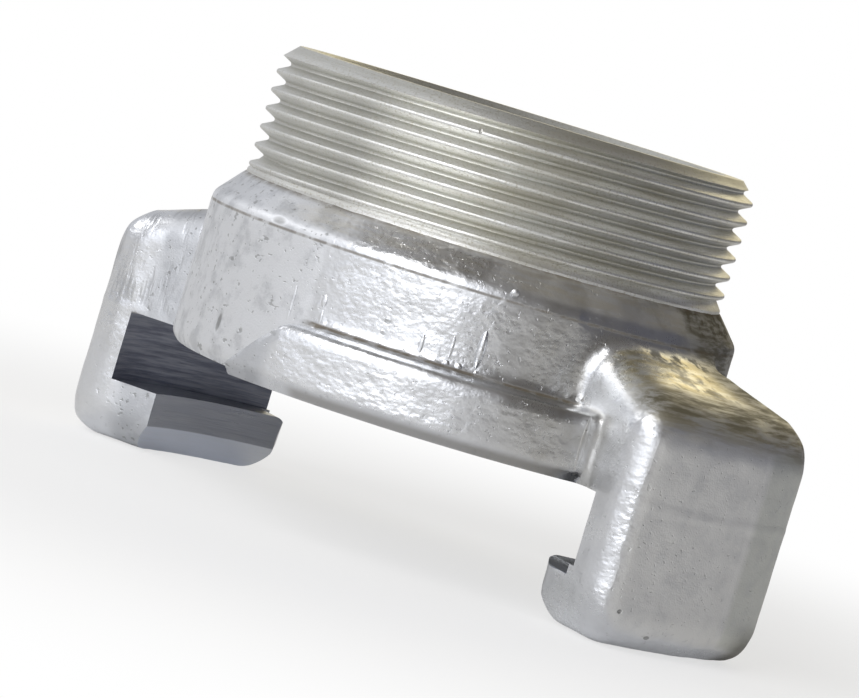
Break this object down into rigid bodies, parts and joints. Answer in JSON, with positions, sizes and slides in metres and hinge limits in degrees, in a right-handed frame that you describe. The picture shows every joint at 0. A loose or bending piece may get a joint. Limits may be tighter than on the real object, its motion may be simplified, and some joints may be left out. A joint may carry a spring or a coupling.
{
  "type": "hose coupling head",
  "caption": "Cast aluminium claw-type hose coupling head with a male pipe thread, cam ledges and a rubber seal ring in its coupling face.",
  "frame": {"origin": "on the thread's axis, at the height of the claws' feet", "axes": "+Z along the axis from the claws towards the thread's mouth, +X through the middle of one claw"},
  "size_m": [0.098, 0.0792, 0.0543],
  "materials": {
    "cast_aluminium": "as-cast skin with an orange-peel texture, turned on the thread, the coupling face and the slots",
    "seal_rubber": "matt black moulded rubber"
  },
  "bodies": {
    "root": {"coupling_body": "cast_aluminium", "seal_ring": "seal_rubber"}
  },
  "joints": []
}
